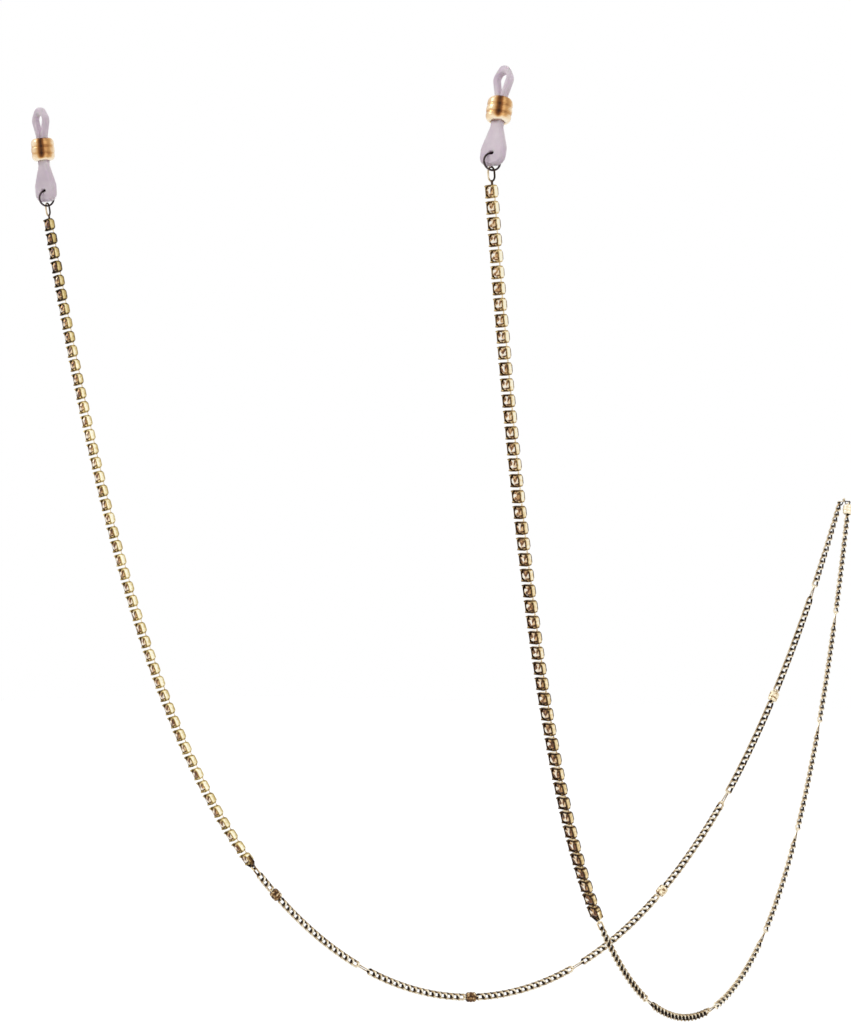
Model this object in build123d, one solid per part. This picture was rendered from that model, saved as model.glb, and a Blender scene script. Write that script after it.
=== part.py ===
from build123d import *
import os
from math import asinh, cos, pi, radians, sin, sqrt

# Eyeglasses chain strap, hanging from two temple arms at the front and from a thin hook at the nape.
# Frame: millimetres, +Z up, the wearer faces -Y, origin where the two nape links meet on the hook.

# Route of each strand: a catenary for the heavy cup chain and a flatter one for the fine chain.
sag_ratio = 1.404                     # fine chain's catenary parameter over the cup chain's
# In degrees: plan is the heading from the nape towards the wearer's right, lean the fitting's tilt back,
# ring_turn the ring about the fitting and cup_turn the cups about the chain.
strands = {
    "left": {
        "side": 1, "sag": 27.108, "slope": -8.082, "plan": -1.1,
        "lean": 13.0, "ring_turn": 60, "cup_turn": 16,
    },
    "right": {
        "side": -1, "sag": 39.458, "slope": -5.892, "plan": 39.0,
        "lean": -6.5, "ring_turn": 70, "cup_turn": -16,
    },
}
nape_bend = 56                        # each nape link's tilt from upright
nape_round = 0.40                     # the nape links' wire, across its corners
twist_in = 40                         # length beside the nape in which a strand's flat side comes round

# Cup chain
cup_count = 48
cup_pitch = 3.75
cup_group = 16                        # cups in one node
cup_rim = 1.58                        # half width at the middle of each rim
cup_back = 1.28                       # half width of the back
claw_reach = 1.42                     # half width at the claw tips
back_depth = -1.1
rim_height = 0.66
claw_height = 1.05
seat_depth = -0.75
stone_half = 1.16
stone_top = 0.7
bar_depth = -0.8
bar_half = 0.27
bar_bite = 0.32                       # how far each end of a bar goes into its cup

# Fine chain
curb_pitch = 1.72                     # from one contact to the next
curb_width = 2.0
wire = 0.40                           # what a link takes up inside the next one
wire_round = 0.44                     # across the corners of the three-sided wire
curb_twist = 45                       # turn of each end about the link's length
long_pitch = 3.64
long_width = 1.2
run_links = 16                        # curb links between two long links
left_stations = 6
right_stations = 8
right_first = 14                      # curb links between the nape links and the first long link
right_last = 3                        # curb links between the last long link and the crimp
crimp_reach = 1.6                     # from the last cup's end to the contact in the crimp's loop
jump_pitch = 2.0

# Ribbed barrel beads on long links
barrel_length = 2.6
barrel_radius = 1.2
barrel_bore = 0.9

# Temple fitting, with heights above the contact of the grip ring and the end link
ring_radius = 2.02                    # centreline
ring_wire = 0.43
ring_height = ring_radius - ring_wire / 2
lobe_rounds = [(-1.0, 3.1, 2.3), (1.0, 3.1, 2.3), (0, 4.6, 3.35)]  # x, height, radius
leg_half = 1.5                        # half of the two legs together
legs_low = 10.6
legs_high = 18.05
loop_depth = 2.0
eye_half = 1.15                       # inner half width of the eye
eye_low = 18.4
eye_high = 22.3                       # centre of the eye's round hole
eye_rounds = [(0, 22.0, 2.55), (0, 24.0, 1.55)]  # x, height, radius
slit_width = 0.3
slit_low = 11.9
hole_radius = 0.9
hole_height = 3.6
bead_low = 11.6
bead_length = 5.8
bead_radius = 3.05
bead_gap = 0.08                       # between the bead's bore and the legs

# End link and crimp
end_reach = 3.35                      # from the first cup to the end link's contact with the ring
end_depth = -0.3                      # the end link's level in the first cup
end_width = 2.8
end_wire = 0.5
end_play = 0.05                       # slack on the grip ring
plate = 0.22
crimp_half = 0.6                      # half height of the crimp's sides
crimp_loop = 0.7                      # centreline radius


def polyhedron(points, faces):
    """A closed solid from corner points and lists of their numbers."""
    vectors = [Vector(*p) for p in points]
    sides = [Face(Wire.make_polygon([vectors[i] for i in face], close=True)) for face in faces]
    return Solid(Shell(sides))


def ring_of_wire(stations, outward, radius, sides):
    """A closed wire along stations, with flat facets: outward gives each station's two section axes."""
    points = []
    for (x, y, z), (u, v) in zip(stations, outward):
        for k in range(sides):
            angle = 2 * pi * k / sides
            points.append((
                x + radius * (cos(angle) * u[0] + sin(angle) * v[0]),
                y + radius * (cos(angle) * u[1] + sin(angle) * v[1]),
                z + radius * (cos(angle) * u[2] + sin(angle) * v[2]),
            ))
    faces = []
    count = len(stations)
    for i in range(count):
        here, there = i * sides, ((i + 1) % count) * sides
        for k in range(sides):
            m = (k + 1) % sides
            faces.append((here + k, there + k, there + m))
            faces.append((here + k, there + m, here + m))
    return polyhedron(points, faces)


def oval_link(pitch, width, corners, sides=3, twist=0.0, round_size=wire_round):
    """A link along X: corners are (x share, y share) of its centreline, twisted about X towards its ends."""
    reach = (pitch + wire) / 2
    spread = (width - wire) / 2
    stations, axes = [], []
    for share_x, share_y in corners:
        x, y = reach * share_x, spread * share_y
        roll = radians(twist) * share_x
        side = (0, cos(roll), sin(roll))
        flat = (0, -sin(roll), cos(roll))
        length = sqrt(share_x ** 2 + share_y ** 2)
        u = (share_x / length, share_y / length * side[1], share_y / length * side[2])
        stations.append((x, y * side[1], y * side[2]))
        axes.append((u, flat))
    return ring_of_wire(stations, axes, round_size / 2, sides)


class Strand:
    """One side's route: arc length s runs from its first cup (0) to its nape link (fine_end)."""

    def __init__(self, name, side, sag, slope, plan, lean, ring_turn, cup_turn):
        self.name = name
        self.sag, self.slope, self.fine_sag = sag, slope, sag * sag_ratio
        self.plan, self.lean, self.ring_turn, self.cup_turn = plan, radians(lean), ring_turn, cup_turn
        self.cups_end = cup_count * cup_pitch
        self.fine_end = self.cups_end + crimp_reach + jump_pitch + self.fine_length()
        self.heading = Vector(-sin(radians(plan)), -cos(radians(plan)), 0)
        bend = radians(nape_bend)
        self.end = Vector(side * curb_pitch * sin(bend), 0, -curb_pitch * cos(bend))
        self.across_all, self.drop_all = self.flat(self.fine_end)

    def fine_length(self):
        """From the jump link's contact to the nape link's."""
        run = run_links * curb_pitch
        if self.name == "left":
            return (left_stations + 1) * (run + long_pitch)
        between = (right_stations - 1) * run + right_stations * long_pitch
        return (right_first + right_last) * curb_pitch + between

    def flat(self, s):
        """(distance run, height) at arc length s, within the strand's own upright plane."""
        first = min(s, self.cups_end)
        v0, v1 = self.slope, self.slope + first / self.sag
        across = self.sag * (asinh(v1) - asinh(v0))
        height = self.sag * (sqrt(1 + v1 ** 2) - sqrt(1 + v0 ** 2))
        if s > first:
            v2 = v1 + (s - first) / self.fine_sag
            across += self.fine_sag * (asinh(v2) - asinh(v1))
            height += self.fine_sag * (sqrt(1 + v2 ** 2) - sqrt(1 + v1 ** 2))
        return across, height

    def point(self, s):
        across, height = self.flat(s)
        return self.end + self.heading * (self.across_all - across) + Vector(0, 0, height - self.drop_all)

    def side_way(self, s):
        """Across the strand's plane; beside the nape it comes round to the nape links' own flat side."""
        share = min(1, (self.fine_end - s) / twist_in)
        turn = radians(self.plan) * share
        return Vector(cos(turn), -sin(turn), 0)

    def put(self, shape, s, length, facing=False):
        """The shape, whose X is the chain's way, between s and s + length; Z is its flat or facing side."""
        first, last = self.point(s), self.point(s + length)
        along = (last - first).normalized()
        side = self.side_way(s + length / 2)
        side = (side - along * side.dot(along)).normalized()
        normal = along.cross(side) if facing else side
        if facing and normal.dot(self.heading) < 0:
            normal = normal * -1
        frame = Plane(origin=(first + last) * 0.5, x_dir=along, z_dir=normal).location
        return frame * Rot(self.cup_turn, 0, 0) * shape if facing else frame * shape


def cup():
    """A square cup, open to +Z, with a pyramid seat and four peaked claws."""
    b, r, c = cup_back, cup_rim, claw_reach
    s = stone_half
    back = [(b, b, back_depth), (-b, b, back_depth), (-b, -b, back_depth), (b, -b, back_depth)]
    claws = [(c, c, claw_height), (-c, c, claw_height), (-c, -c, claw_height), (c, -c, claw_height)]
    dips = [(0, r, rim_height), (-r, 0, rim_height), (0, -r, rim_height), (r, 0, rim_height)]
    seat = [(s, s, stone_top), (-s, s, stone_top), (-s, -s, stone_top), (s, -s, stone_top)]
    points = back + claws + dips + seat + [(0, 0, seat_depth)]
    faces = [(0, 1, 2, 3)]
    for i in range(4):
        j = (i + 1) % 4
        faces += [
            (i, j, 8 + i), (j, 4 + j, 8 + i), (i, 8 + i, 4 + i),
            (4 + i, 8 + i, 12 + i), (8 + i, 12 + j, 12 + i), (8 + i, 4 + j, 12 + j),
            (12 + i, 12 + j, 16),
        ]
    return polyhedron(points, faces)


def stone():
    """A square stone with a flat table and a pointed back that sits in the cup's seat."""
    s = stone_half - 0.012
    corners = [(s, s, stone_top), (-s, s, stone_top), (-s, -s, stone_top), (s, -s, stone_top)]
    faces = [(0, 1, 2, 3), (0, 1, 4), (1, 2, 4), (2, 3, 4), (3, 0, 4)]
    return polyhedron(corners + [(0, 0, seat_depth + 0.012)], faces)


def bar():
    """A three-sided bar along X that bridges two cups."""
    half = (cup_pitch - 2 * cup_back) / 2 + bar_bite
    h = bar_half
    ring = [(0, h * 0.8), (-h, -h * 0.6), (h, -h * 0.6)]
    points = [(x, y, z + bar_depth) for x in (-half, half) for y, z in ring]
    return polyhedron(points, [(0, 1, 2), (3, 4, 5), (0, 1, 4, 3), (1, 2, 5, 4), (2, 0, 3, 5)])


def turned(profile, sides):
    """A closed faceted turning about X from a closed list of (x, radius)."""
    points = []
    for x, radius in profile:
        angles = [2 * pi * (k + 0.5) / sides for k in range(sides)]
        points += [(x, radius * cos(a), radius * sin(a)) for a in angles]
    faces = []
    for i in range(len(profile)):
        here, there = i * sides, (i + 1) % len(profile) * sides
        for k in range(sides):
            m = (k + 1) % sides
            faces.append((here + k, there + k, there + m, here + m))
    return polyhedron(points, faces)


def barrel():
    """A ribbed barrel bead along X with a bore for the long link."""
    h, r = barrel_length / 2, barrel_radius
    profile = [(-h, 0.82 * r), (-0.45 * h, r), (0, 0.84 * r), (0.45 * h, r), (h, 0.82 * r)]
    return turned(profile + [(h, barrel_bore), (-h, barrel_bore)], 6)


def crimp(cup_turn):
    """A clip on the last cup's two sides, folded to a V, with a loop; X runs along the chain."""
    sides = Part()
    for way in (1, -1):
        outline = [
            (-2.4, way * (cup_rim + plate)), (-0.3, way * (cup_rim + plate)), (0.75, way * 0.3),
            (0.55, way * 0.05), (-0.39, way * cup_rim), (-2.4, way * cup_rim),
        ]
        sides += extrude(make_face(Polyline(*outline, close=True)), crimp_half, both=True)
    return sides + eye_of_wire(crimp_reach + wire / 2 - crimp_loop, crimp_loop, curb_twist - cup_turn)


def eye_of_wire(x, radius, roll):
    """A small round loop whose plane holds X and is turned about it."""
    side = (0, cos(radians(roll)), sin(radians(roll)))
    flat = (0, -side[2], side[1])
    stations, axes = [], []
    for k in range(8):
        a = 2 * pi * (k + 0.5) / 8
        stations.append((x + radius * cos(a), radius * sin(a) * side[1], radius * sin(a) * side[2]))
        axes.append(((cos(a), sin(a) * side[1], sin(a) * side[2]), flat))
    return ring_of_wire(stations, axes, wire / 2, 4)


def end_link():
    """A flat oval loop with a tab into the first cup; X runs along the chain from the cups' start."""
    high, low = end_reach + end_play, 0.75
    reach, spread = (high - low + end_wire) / 2, (end_width - end_wire) / 2
    stations, axes = [], []
    for k in range(10):
        a = 2 * pi * k / 10
        stations.append((reach * cos(a) - (high + low) / 2, spread * sin(a), 0))
        axes.append(((cos(a), sin(a), 0), (0, 0, 1)))
    tab = Pos(-0.05, 0, 0) * Box(1.5, 0.7, 0.44)
    return ring_of_wire(stations, axes, end_wire / 2, 4) + tab


def drop(rounds, half, level):
    """Round shapes drawn out to a straight end: half its width, at a level above or below."""
    edges = [edge for one in rounds for edge in one.edges()]
    return make_hull([*edges, Edge.make_line((-half, level), (half, level))])


def many_sided(rounds):
    """Regular polygons from (x, height, radius)."""
    return [Pos(x, height) * RegularPolygon(radius, 24) for x, height, radius in rounds]


def temple_loop():
    """The silicone piece: an eye for the temple arm, two legs and a lobe with a hole, upright in XZ."""
    lobe = drop(many_sided(lobe_rounds), leg_half, legs_low)
    outer_eye = drop(many_sided(eye_rounds), leg_half, legs_high)
    inner_eye = drop([Pos(0, eye_high) * Circle(eye_half)], slit_width / 2, eye_low)
    legs = Pos(0, (legs_low + legs_high) / 2) * Rectangle(2 * leg_half, legs_high - legs_low)
    slit = Pos(0, (slit_low + eye_low) / 2) * Rectangle(slit_width, eye_low - slit_low)
    hole = Pos(0, hole_height) * RegularPolygon(hole_radius, 12, major_radius=False)
    outline = lobe + outer_eye + legs - inner_eye - slit - hole
    return extrude(Plane.XZ * outline, loop_depth / 2, both=True)


def slide_bead():
    """A ribbed barrel, upright, with a slot that the two legs fill."""
    h, r, core = bead_length, bead_radius, 0.4
    profile = [
        (0, 0.72 * r), (0.08 * h, 0.89 * r), (0.18 * h, 0.97 * r), (0.32 * h, 0.94 * r), (0.48 * h, r),
        (0.63 * h, 0.94 * r), (0.8 * h, 0.97 * r), (0.92 * h, 0.89 * r), (h, 0.72 * r),
    ]
    barrel_shape = Rot(0, -90, 0) * turned(profile + [(h, core), (0, core)], 18)
    slot = Box(2 * (leg_half + bead_gap), loop_depth + 2 * bead_gap, 3 * h)
    return barrel_shape - slot


def grip_ring():
    """A plain wire ring about Y, with its centre at the origin."""
    stations, axes = [], []
    for k in range(16):
        a = 2 * pi * k / 16
        stations.append((ring_radius * cos(a), 0, ring_radius * sin(a)))
        axes.append(((cos(a), 0, sin(a)), (0, 1, 0)))
    return ring_of_wire(stations, axes, ring_wire / 2, 4)


curb_corners = [(1, 0.5), (0, 1), (-1, 0.5), (-1, -0.5), (0, -1), (1, -0.5)]
nape_corners = [(1, 0.8), (0, 1), (-1, 0.8), (-1, -0.8), (0, -1), (1, -0.8)]
long_corners = [(1, 0.5), (0.6, 1), (-0.6, 1), (-1, 0.5), (-1, -0.5), (-0.6, -1), (0.6, -1), (1, -0.5)]
curb_link = oval_link(curb_pitch, curb_width, curb_corners, twist=curb_twist)
long_link = oval_link(long_pitch, long_width, long_corners, twist=curb_twist)
jump_link = Rot(curb_twist, 0, 0) * oval_link(jump_pitch, curb_width, long_corners)
one_cup, one_stone, one_bar, one_barrel = cup(), stone(), bar(), barrel()


def cup_rows(strand):
    """The cups, stones and bars of a strand, in groups."""
    rows = {}
    for group, place in enumerate(("upper", "middle", "lower")):
        cups, stones, bars = [], [], []
        for k in range(group * cup_group, (group + 1) * cup_group):
            s = k * cup_pitch
            cups.append(strand.put(one_cup, s, cup_pitch, True))
            stones.append(strand.put(one_stone, s, cup_pitch, True))
            if k < cup_count - 1:
                bars.append(strand.put(one_bar, s + cup_pitch / 2, cup_pitch, True))
        rows[f"{strand.name}_cups_{place}"] = cups
        rows[f"{strand.name}_stones_{place}"] = stones
        rows[f"{strand.name}_bars_{place}"] = bars
    return rows


def fine_chain(strand):
    """The curb runs, long links and barrel beads of a strand, from its crimp to the nape."""
    name = strand.name
    if name == "left":
        runs = [run_links] * (left_stations + 1)
        beaded = []
    else:
        runs = [right_last] + [run_links] * (right_stations - 1) + [right_first]
        beaded = [k for k in range(right_stations) if k % 2 == 0]
    parts, longs, barrels = {}, [], []
    s = strand.cups_end + crimp_reach
    parts[f"{name}_jump_link"] = [strand.put(jump_link, s, jump_pitch)]
    s += jump_pitch
    for k, count in enumerate(runs):
        parts[f"{name}_curb_run_{k + 1}"] = [
            strand.put(curb_link, s + i * curb_pitch, curb_pitch) for i in range(count)
        ]
        s += count * curb_pitch
        if k < len(runs) - 1:
            longs.append(strand.put(long_link, s, long_pitch))
            if k in beaded:
                barrels.append(strand.put(one_barrel, s, long_pitch))
            s += long_pitch
    parts[f"{name}_long_links"] = longs
    if barrels:
        parts[f"{name}_barrel_beads"] = barrels
    if name == "left":
        parts["nape_long_link"] = [strand.put(long_link, s, long_pitch)]
        parts["nape_barrel_bead"] = [strand.put(one_barrel, s, long_pitch)]
    return parts


def fitting(strand):
    """The temple loop, slide bead, grip ring, end link and crimp of a strand."""
    name = strand.name
    top = strand.put(Pos(0, 0, end_depth), 0, 0.02, True)
    contact = (top * Pos(-end_reach, 0, 0)).position
    frame = Plane(origin=contact, x_dir=(1, 0, 0), z_dir=(0, sin(strand.lean), cos(strand.lean))).location
    return {
        f"{name}_temple_loop": [frame * temple_loop()],
        f"{name}_slide_bead": [frame * Pos(0, 0, bead_low) * slide_bead()],
        f"{name}_grip_ring": [frame * Pos(0, 0, ring_height) * Rot(0, 0, strand.ring_turn) * grip_ring()],
        f"{name}_end_link": [top * end_link()],
        f"{name}_crimp": [strand.put(crimp(strand.cup_turn), strand.cups_end, 0.02, True)],
    }


def nape_links():
    """The two links that lie over the hook and meet at the origin."""
    bend = radians(nape_bend)
    link = oval_link(curb_pitch, curb_width, nape_corners, twist=curb_twist, round_size=nape_round)
    links = []
    for side in (1, -1):
        along = Vector(-side * sin(bend), 0, cos(bend))
        normal = (side * cos(bend), 0, sin(bend))
        links.append(Plane(origin=along * (-curb_pitch / 2), x_dir=along, z_dir=normal).location * link)
    return links


def main():
    os.makedirs("parts", exist_ok=True)
    nodes = {"nape_links": nape_links()}
    for name, values in strands.items():
        strand = Strand(name, **values)
        for group in (fitting(strand), cup_rows(strand), fine_chain(strand)):
            nodes.update(group)
    for node, solids in nodes.items():
        whole = solids[0] if len(solids) == 1 else Compound(children=solids)
        export_step(whole, f"parts/{node}.step")


main()
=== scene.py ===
import bpy
import numpy as np
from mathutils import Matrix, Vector


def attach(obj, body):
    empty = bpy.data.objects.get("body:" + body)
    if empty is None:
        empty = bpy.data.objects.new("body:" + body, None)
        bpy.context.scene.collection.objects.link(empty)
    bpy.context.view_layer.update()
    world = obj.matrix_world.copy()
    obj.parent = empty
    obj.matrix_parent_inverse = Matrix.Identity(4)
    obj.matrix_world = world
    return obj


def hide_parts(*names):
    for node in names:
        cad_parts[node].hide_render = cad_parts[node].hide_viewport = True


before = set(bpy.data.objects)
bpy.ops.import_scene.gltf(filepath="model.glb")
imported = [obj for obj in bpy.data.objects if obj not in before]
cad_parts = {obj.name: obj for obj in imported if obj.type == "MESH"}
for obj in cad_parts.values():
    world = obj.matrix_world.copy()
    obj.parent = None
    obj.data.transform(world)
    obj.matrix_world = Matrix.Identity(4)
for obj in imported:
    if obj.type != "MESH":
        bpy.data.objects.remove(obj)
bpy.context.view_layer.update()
mm = 0.001
print("frame loaded")


# route of the two strands in millimetres and degrees, the same as the CAD's
route = {
    "sagRatio": 1.404,  # the fine chain's catenary parameter over the cup chain's
    "cupCount": 48,
    "cupPitch": 3.75,
    "crimpReach": 1.6,
    "jumpPitch": 2.0,
    "curbPitch": 1.72,
    "longPitch": 3.64,
    "runLinks": 16,
    "napeBend": 56,
    "twistIn": 40,
}
sides = {
    "left": {
        "side": 1, "sag": 27.108, "slope": -8.082, "plan": -1.1,
        "lean": 13.0, "ringTurn": 60, "cupTurn": 16,
    },
    "right": {
        "side": -1, "sag": 39.458, "slope": -5.892, "plan": 39.0,
        "lean": -6.5, "ringTurn": 70, "cupTurn": -16,
    },
}
fullRuns = [route["runLinks"]] * 7
runCounts = {"left": fullRuns, "right": [3] + fullRuns + [14]}  # curb links in each run, from the crimp on
cupsEnd = route["cupCount"] * route["cupPitch"]


def unit(v):
    return v / np.linalg.norm(v, axis=-1, keepdims=True)


def fineLength(name):
    # the length of every curb link and long link between the jump link and the nape links
    runs = runCounts[name]
    longs = len(runs) if name == "left" else len(runs) - 1
    return sum(runs) * route["curbPitch"] + longs * route["longPitch"]


def flatRoute(name, s):
    # distance run and height at arc length s: two catenaries joined where the cups end. Along each the slope
    # grows by s / sag, the distance is sag * arcsinh(slope) and the height is sag * sqrt(1 + slope squared)
    values = sides[name]
    sag, fineSag = values["sag"], values["sag"] * route["sagRatio"]
    first = np.minimum(s, cupsEnd)
    v0, v1 = values["slope"], values["slope"] + first / sag
    v2 = v1 + (s - first) / fineSag
    across = sag * (np.arcsinh(v1) - np.arcsinh(v0)) + fineSag * (np.arcsinh(v2) - np.arcsinh(v1))
    root0, root1, root2 = np.sqrt(1 + v0**2), np.sqrt(1 + v1**2), np.sqrt(1 + v2**2)
    return across, sag * (root1 - root0) + fineSag * (root2 - root1)


def heading(name):
    # the level direction of a strand, from the nape forwards
    plan = np.radians(sides[name]["plan"])
    return np.array([-np.sin(plan), -np.cos(plan), 0.0])


def fineEnd(name):
    return cupsEnd + route["crimpReach"] + route["jumpPitch"] + fineLength(name)


def strandPoint(name, s):
    # points of the strand at arc lengths s, measured back from its nape link
    s = np.atleast_1d(np.asarray(s, float))
    bend = np.radians(route["napeBend"])
    reach = route["curbPitch"]
    end = np.array([sides[name]["side"] * reach * np.sin(bend), 0, -reach * np.cos(bend)])
    acrossAll, dropAll = flatRoute(name, fineEnd(name))
    across, height = flatRoute(name, s)
    up = np.array([0.0, 0.0, 1.0])
    return end + (acrossAll - across)[:, None] * heading(name) + (height - dropAll)[:, None] * up


def framesAt(name, starts, length, facing=False):
    # middles and turns of pieces that span length from each start: X along the chain, Z its flat or
    # facing side, and facing pieces turned about the chain as the cups are
    starts = np.atleast_1d(np.asarray(starts, float))
    first, last = strandPoint(name, starts), strandPoint(name, starts + length)
    along = unit(last - first)
    share = np.minimum(1, (fineEnd(name) - starts - length / 2) / route["twistIn"])
    turn = np.radians(sides[name]["plan"]) * share
    side = np.stack([np.cos(turn), -np.sin(turn), 0 * turn], -1)
    side = unit(side - along * np.sum(side * along, -1, keepdims=True))
    normal = side
    if facing:
        normal = np.cross(along, side)
        normal *= np.sign(normal @ heading(name))[:, None]
        about = np.radians(sides[name]["cupTurn"])
        normal = np.cos(about) * normal - np.sin(about) * np.cross(normal, along)
    turns = np.stack([along, np.cross(normal, along), normal], -1)  # columns are the piece's own axes
    return (first + last) / 2, turns


def gridFaces(rows, cols, closeRows=False):
    # quads between neighbouring rows and columns of points numbered row by row, closed round the columns
    r = np.arange(rows if closeRows else rows - 1)[:, None]
    c = np.arange(cols)[None, :]
    here, there = r * cols, (r + 1) % rows * cols
    step = (c + 1) % cols
    return np.stack([here + c, here + step, there + step, there + c], -1).reshape(-1, 4)


def facesOut(verts, faces):
    # the faces turned over where the volume that they close is negative
    corners = verts[faces]
    a, b, c = corners[:, 0], corners[:, 1], corners[:, 2]
    volume = np.sum(a * np.cross(b, c))
    if faces.shape[1] == 4:
        volume += np.sum(a * np.cross(c, corners[:, 3]))
    return faces if volume > 0 else faces[:, ::-1]


def closedFaces(verts, rows, around):
    # the walls between rows of points and a cap at each end, all outwards: the caps are written to suit
    # walls that were turned over, so where the walls were not, the caps are
    walls = facesOut(verts, gridFaces(rows, around))
    caps = np.stack([np.arange(around), np.arange(around)[::-1] + (rows - 1) * around])
    return [walls, caps[:, ::-1] if walls[0, 1] == 1 else caps]


def tube(line, outward, flat, section):
    # a closed line carried round with a section: point = line + u * outward + v * flat
    return line[:, None] + section[None, :, :1] * outward[:, None] + section[None, :, 1:] * flat[:, None]


def roundSection(radius, count):
    angle = 2 * np.pi * (np.arange(count) + 0.5) / count
    return np.stack([radius * np.cos(angle), radius * np.sin(angle)], -1)


def stadium(reach, spread, count):
    # a closed oval line of two half circles, with its outward way; count is even
    half = count // 2
    angle = np.pi * ((np.arange(half) + 0.5) / half - 0.5)
    angle = np.concatenate([angle, angle + np.pi])
    middle = np.where(np.arange(count) < half, 1, -1) * (reach - spread)
    return middle + spread * np.cos(angle), spread * np.sin(angle), angle


hookShare = 0.45  # of its wire that a link reaches past its pitch at each end
groundBare = (0.7, 0.45)  # a ground link is rubbed all over, and more on its outer side


def linkShape(pitch, look, shade=None):
    # an oval wire link along X that passes its pitch by hook at each end: each cross line turns about X by
    # twist towards the ends, then flat sides are ground. A painted shade darkens the plate round one end:
    # the brightness falls by depth * (a cosine hump round the angle at) ** arc
    wire, stations = look["wire"], look["stations"]
    hook = hookShare * wire
    reach, spread = (pitch + 2 * hook) / 2, (look["width"] - wire) / 2
    x, y, angle = stadium(reach, spread, stations)
    turn = np.radians(look["twist"]) * x / reach + np.radians(look["roll"])
    zero = np.zeros_like(x)
    side = np.stack([zero, np.cos(turn), np.sin(turn)], -1)
    flat = np.stack([zero, -np.sin(turn), np.cos(turn)], -1)
    line = np.stack([x, zero, zero], -1) + y[:, None] * side
    outward = np.stack([np.cos(angle), zero, zero], -1) + np.sin(angle)[:, None] * side
    section = roundSection(wire / 2, look["around"])
    points = tube(line, outward, flat, section)
    wearAndLight = np.tile(0.5 + section[:, 0] / wire, (stations, 1))  # 1 outside on the wire, 0 inside the link
    if "flatten" in look:
        flatten = look["flatten"]
        cut = np.abs(points[..., 2]) > flatten
        wearAndLight = np.where(cut, 1.0, groundBare[0] + groundBare[1] * wearAndLight)
        points[..., 2] = np.clip(points[..., 2], -flatten, flatten)
    # painted shade round one end of the link
    if shade:
        shadedEnd = 0.5 + 0.5 * np.cos(angle - np.radians(shade["at"]))
        wearAndLight = wearAndLight - (shade["depth"] * shadedEnd ** shade["arc"])[:, None]
    verts = points.reshape(-1, 3)
    faces = facesOut(verts, gridFaces(stations, look["around"], True))
    return {"verts": verts, "faces": [faces], "wearAndLight": wearAndLight.ravel()}


def turnedShape(profile, around, bore):
    # a profile of (height, radius) carried round Z: point = radius * way + height. Two rows of points from
    # bore close it through its hole
    angle = 2 * np.pi * np.arange(around) / around
    heights, radii = profile[:, 0], profile[:, 1]
    ring = np.stack([np.cos(angle), np.sin(angle), 0 * angle], -1)
    points = radii[:, None, None] * ring + heights[:, None, None] * np.array([0, 0, 1.0])
    points = np.concatenate([points, bore(angle, heights[-1])[None], bore(angle, heights[0])[None]])
    verts = points.reshape(-1, 3)
    return verts, facesOut(verts, gridFaces(len(points), around, True))


def addMesh(name, verts, faceSets, material, smooth=True, attributes=None):
    # one mesh object from points in millimetres and arrays of faces, with its values on points or faces
    mesh = bpy.data.meshes.new(name)
    faces = [face for faceSet in faceSets for face in faceSet.tolist()]
    mesh.from_pydata((np.asarray(verts) * mm).tolist(), [], faces)
    mesh.polygons.foreach_set("use_smooth", np.full(len(mesh.polygons), smooth))
    for key, values in (attributes or {}).items():
        domain = "POINT" if len(values) == len(mesh.vertices) else "FACE"
        mesh.attributes.new(key, "FLOAT", domain).data.foreach_set("value", np.asarray(values, np.float32))
    mesh.materials.append(material)
    mesh.update()
    piece = bpy.data.objects.new(name, mesh)
    bpy.context.collection.objects.link(piece)
    return piece


def seat(piece, body, finish, *nodes):
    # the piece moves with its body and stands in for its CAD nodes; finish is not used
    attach(piece, body)
    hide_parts(*nodes)
    return piece


sparkShares = {"facet": 0.8, "luck": 0.3, "base": -0.05, "brightness": 0.6}  # in how bright a stone's facet is painted


def addCopies(name, shape, middles, turns, material, smooth=True, seed=1, brightness=0.0):
    # the shape at every frame: point = middle + turn * point, with a random tone and a given brightness
    # shift for each copy
    count, size = len(middles), len(shape["verts"])
    verts = middles[:, None] + np.einsum("kij,nj->kni", turns, shape["verts"])
    step = (np.arange(count) * size)[:, None, None]
    faceSets = [(faces[None] + step).reshape(-1, faces.shape[1]) for faces in shape["faces"]]
    tone = np.random.default_rng(seed).random(count)
    wearAndLight = shape["wearAndLight"] + np.broadcast_to(brightness, count)[:, None]
    attributes = {"wearAndLight": wearAndLight.ravel(), "tone": np.repeat(tone, size)}
    if "spark" in shape:  # the painted glints of each stone sit at its own quarter turn, and each facet has a little of its own
        shares, luck = sparkShares, np.random.default_rng(seed + 50)
        spin = (np.arange(8) + 2 * luck.integers(0, 4, (count, 1))) % 8
        spark = shape["spark"][:, spin].transpose(1, 0, 2).reshape(count, -1)
        lift = shape["lift"] + shares["brightness"] * np.broadcast_to(brightness, count)[:, None]
        lucky = shares["luck"] * luck.random(spark.shape)
        attributes["spark"] = (shares["facet"] * spark + lucky + shares["base"] + lift).ravel()
    return addMesh(name, verts.reshape(-1, 3), faceSets, material, smooth, attributes)


def newMaterial(name):
    material = bpy.data.materials.new(name)
    material.use_nodes = True
    nodes = material.node_tree.nodes
    return material, nodes, material.node_tree.links, nodes["Principled BSDF"]


def setInputs(shader, values):
    for key, value in values.items():
        shader.inputs[key].default_value = value


def noiseNode(nodes, links, scale, detail=3.0, stretch=None):
    # noise on the piece's own coordinates, scale in features per metre
    place = nodes.new("ShaderNodeTexCoord")
    source = place.outputs["Object"]
    if stretch:
        mapping = nodes.new("ShaderNodeMapping")
        mapping.inputs["Scale"].default_value = stretch
        links.new(source, mapping.inputs["Vector"])
        source = mapping.outputs["Vector"]
    noise = nodes.new("ShaderNodeTexNoise")
    noise.inputs["Scale"].default_value = scale
    noise.inputs["Detail"].default_value = detail
    links.new(source, noise.inputs["Vector"])
    return noise.outputs["Fac"]


def valueOf(nodes, name):
    node = nodes.new("ShaderNodeAttribute")
    node.attribute_name = name
    return node.outputs["Fac"]


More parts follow.
